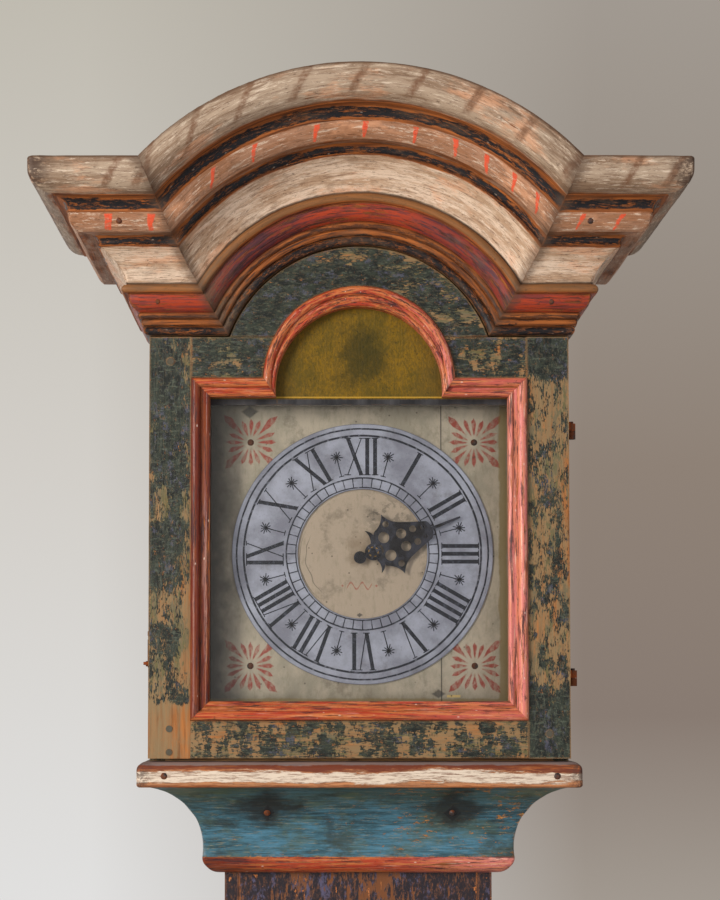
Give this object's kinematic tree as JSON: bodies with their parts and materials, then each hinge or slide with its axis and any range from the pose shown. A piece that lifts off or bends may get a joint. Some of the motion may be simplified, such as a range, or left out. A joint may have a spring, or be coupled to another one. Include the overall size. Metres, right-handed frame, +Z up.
{
  "type": "mora clock",
  "caption": "Floor-standing painted longcase clock with a broken-arch hood, glazed hinged door, one-handed dial, slim trunk with a door, pendulum, weights and bracket plinth.",
  "frame": {"origin": "on the floor, under the centre of the bounding box", "axes": "+Z up, +X to the right as seen from the front, +Y to the back; the dial faces -Y"},
  "size_m": [0.61, 0.31, 2.1572],
  "materials": {
    "bare_pine": "unpainted aged pine, rough-sawn",
    "green_paint": "dark green distemper worn to orange-brown pine",
    "cornice_paint": "cream, black and red painted pine with worn edges",
    "red_paint": "vermilion paint worn along the beads",
    "cream_paint": "cream paint worn to brown at the edges",
    "blue_paint": "blue-green paint with ochre wear",
    "dark_paint": "dark brown paint over orange wood",
    "ochre_paint": "ochre paint with darker blotches",
    "black_paint": "black paint",
    "dial_paint": "stained cream paint",
    "pewter": "dull pewter with engraved numerals filled in black",
    "old_glass": "slightly wavy old window glass",
    "iron": "hand-forged iron with brown rust",
    "hand_steel": "darkened steel",
    "brass": "dull cast brass",
    "peg_wood": "dark whittled wood",
    "hemp": "twisted hemp line"
  },
  "bodies": {
    "case": {"plinth": "green_paint", "foot_blocks": "bare_pine", "base_front": "green_paint", "base_sides": "green_paint", "base_back": "bare_pine", "base_floor": "bare_pine", "base_panel_moulding": "red_paint", "base_torus": "cream_paint", "base_cove": "blue_paint", "base_ovolo": "red_paint", "trunk_sides": "dark_paint", "trunk_back": "bare_pine", "trunk_front_frame": "dark_paint", "waist_torus": "cream_paint", "waist_cove": "blue_paint", "waist_ovolo": "red_paint", "hood_floor": "bare_pine", "hood_sides": "green_paint", "hood_back": "bare_pine", "roof_boards": "bare_pine", "frieze_board": "bare_pine", "cornice_arch": "cornice_paint", "cornice_fronts": "cornice_paint", "cornice_returns": "cornice_paint", "dial_board": "dial_paint", "chapter_ring": "pewter", "nails": "iron", "seat_board": "bare_pine", "movement_frame": "iron", "bell": "brass", "case_ironwork": "iron"},
    "hood_door": {"door_stiles": "green_paint", "door_rails": "green_paint", "door_arch_head": "green_paint", "door_moulding": "red_paint", "door_arch_moulding": "red_paint", "lunette_panel": "ochre_paint", "door_glass": "old_glass", "glazing_strips": "black_paint", "door_pegs": "peg_wood", "door_ironwork": "iron"},
    "hood_hook": {"hood_hook": "iron"},
    "trunk_door": {"trunk_door_board": "dark_paint", "trunk_door_moulding": "red_paint", "trunk_hinge_leaves": "iron"},
    "turn_button": {"turn_button": "peg_wood"},
    "great_wheel": {"great_wheel": "brass"},
    "second_wheel": {"second_wheel": "brass"},
    "escape_wheel": {"escape_wheel": "brass"},
    "pendulum": {"pallets": "iron", "pendulum_rod": "iron", "pendulum_bob": "brass"},
    "hour_wheel": {"hour_wheel": "brass"},
    "hour_hand": {"hour_hand": "hand_steel"},
    "strike_wheel": {"strike_wheel": "brass"},
    "hammer": {"hammer": "iron"},
    "going_weight": {"going_weight": "iron", "going_line": "hemp"},
    "strike_weight": {"strike_weight": "iron", "strike_line": "hemp"}
  },
  "joints": [
    {"name": "hood_door_swing", "type": "hinge", "parent": "case", "child": "hood_door", "pos_m": [0.2045, -0.0295, 1.7], "axis": [0, 0, 1], "range_deg": [0, 110]},
    {"name": "hood_hook_turn", "type": "hinge", "parent": "case", "child": "hood_hook", "pos_m": [-0.2015, -0.018, 1.608], "axis": [1, 0, 0], "range_deg": [0, 90]},
    {"name": "trunk_door_swing", "type": "hinge", "parent": "case", "child": "trunk_door", "pos_m": [0.08575, 0.017, 0.994], "axis": [0, 0, 1], "range_deg": [0, 110]},
    {"name": "turn_button_turn", "type": "hinge", "parent": "case", "child": "turn_button", "pos_m": [-0.0985, 0.017, 0.994], "axis": [0, 1, 0], "range_deg": [-90, 90]},
    {"name": "second_wheel_turn", "type": "hinge", "parent": "case", "child": "second_wheel", "pos_m": [0.0145, 0.0525, 1.7226], "axis": [0, 1, 0], "continuous": true},
    {"name": "great_wheel_turn", "type": "hinge", "parent": "case", "child": "great_wheel", "pos_m": [0.0145, 0.0525, 1.6848], "axis": [0, 1, 0], "continuous": true},
    {"name": "escape_wheel_turn", "type": "hinge", "parent": "case", "child": "escape_wheel", "pos_m": [0.0145, 0.0525, 1.7526], "axis": [0, 1, 0], "continuous": true},
    {"name": "hour_wheel_turn", "type": "hinge", "parent": "case", "child": "hour_wheel", "pos_m": [0.0145, 0.0025, 1.716], "axis": [0, 1, 0], "continuous": true},
    {"name": "hour_hand_set", "type": "hinge", "parent": "hour_wheel", "child": "hour_hand", "pos_m": [0.0145, -0.0135, 1.716], "axis": [0, 1, 0], "continuous": true},
    {"name": "pendulum_swing", "type": "hinge", "parent": "case", "child": "pendulum", "pos_m": [0.0145, 0.123, 1.7806], "axis": [0, 1, 0], "range_deg": [-2, 2]},
    {"name": "strike_wheel_turn", "type": "hinge", "parent": "case", "child": "strike_wheel", "pos_m": [-0.0655, 0.0525, 1.6848], "axis": [0, 1, 0], "continuous": true},
    {"name": "hammer_lift", "type": "hinge", "parent": "case", "child": "hammer", "pos_m": [-0.0955, 0.0525, 1.7706], "axis": [0, 1, 0], "range_deg": [-25, 0]},
    {"name": "going_weight_wind", "type": "slide", "parent": "case", "child": "going_weight", "axis": [0, 0, 1], "range_m": [0, 0.7], "deforming": ["going_line"]},
    {"name": "strike_weight_wind", "type": "slide", "parent": "case", "child": "strike_weight", "axis": [0, 0, 1], "range_m": [0, 0.7], "deforming": ["strike_line"]}
  ],
  "couplings": [
    {"joint": "second_wheel_turn", "follows": "escape_wheel_turn", "ratio": -0.11111},
    {"joint": "great_wheel_turn", "follows": "escape_wheel_turn", "ratio": 0.013889},
    {"joint": "hour_wheel_turn", "follows": "escape_wheel_turn", "ratio": -0.0011574}
  ]
}
